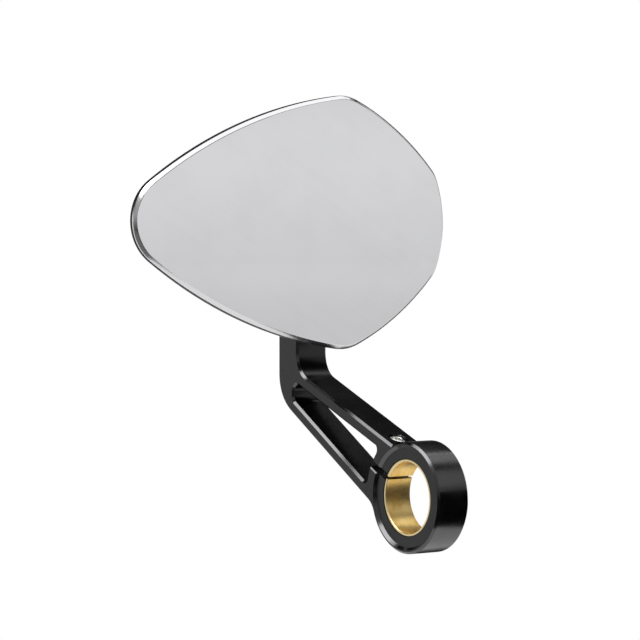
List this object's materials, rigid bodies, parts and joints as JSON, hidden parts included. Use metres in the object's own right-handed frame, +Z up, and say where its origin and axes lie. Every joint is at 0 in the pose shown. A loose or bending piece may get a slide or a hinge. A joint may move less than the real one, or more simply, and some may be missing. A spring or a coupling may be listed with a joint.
{
  "type": "motorcycle bar end mirror",
  "caption": "Bar-end mirror: bevelled convex mirror on a ball joint, carried by a slotted milled arm with a split clamp ring and brass bush for the handlebar.",
  "frame": {"origin": "centre of the handlebar clamp's bore, half way along it", "axes": "+X outboard along the handlebar (right-hand side), +Y forward, +Z up; the mirror faces -Y, towards the rider"},
  "size_m": [0.1208, 0.089, 0.1446],
  "materials": {
    "black_anodised": "satin black anodised, milled",
    "brass": "turned",
    "stainless": "bright turned",
    "liner_plastic": "moulded, low friction",
    "pad_foam": "adhesive foam",
    "mirror_glass": "silvered, polished bevel"
  },
  "bodies": {
    "arm_body": {"arm": "black_anodised", "bar_bush": "brass", "bar_clamp_screw": "stainless", "socket_plug": "black_anodised", "plug_lock_screw": "stainless"},
    "rear_liner_body": {"rear_liner": "liner_plastic"},
    "front_liner_body": {"front_liner": "liner_plastic"},
    "mirror_head": {"ball_stud": "stainless", "flange_screws": "stainless", "mirror_housing": "black_anodised", "bonding_pad": "pad_foam", "mirror_plate": "mirror_glass"}
  },
  "joints": [
    {"name": "mirror_pan", "type": "hinge", "parent": "arm_body", "child": "rear_liner_body", "pos_m": [0, 0.0633, 0.086], "axis": [0, 0, 1], "range_deg": [-18, 18]},
    {"name": "mirror_tilt", "type": "hinge", "parent": "rear_liner_body", "child": "front_liner_body", "pos_m": [0, 0.0633, 0.086], "axis": [1, 0, 0], "range_deg": [-14, 14]},
    {"name": "mirror_roll", "type": "hinge", "parent": "front_liner_body", "child": "mirror_head", "pos_m": [0, 0.0633, 0.086], "axis": [0, 1, 0], "range_deg": [-25, 25]}
  ]
}
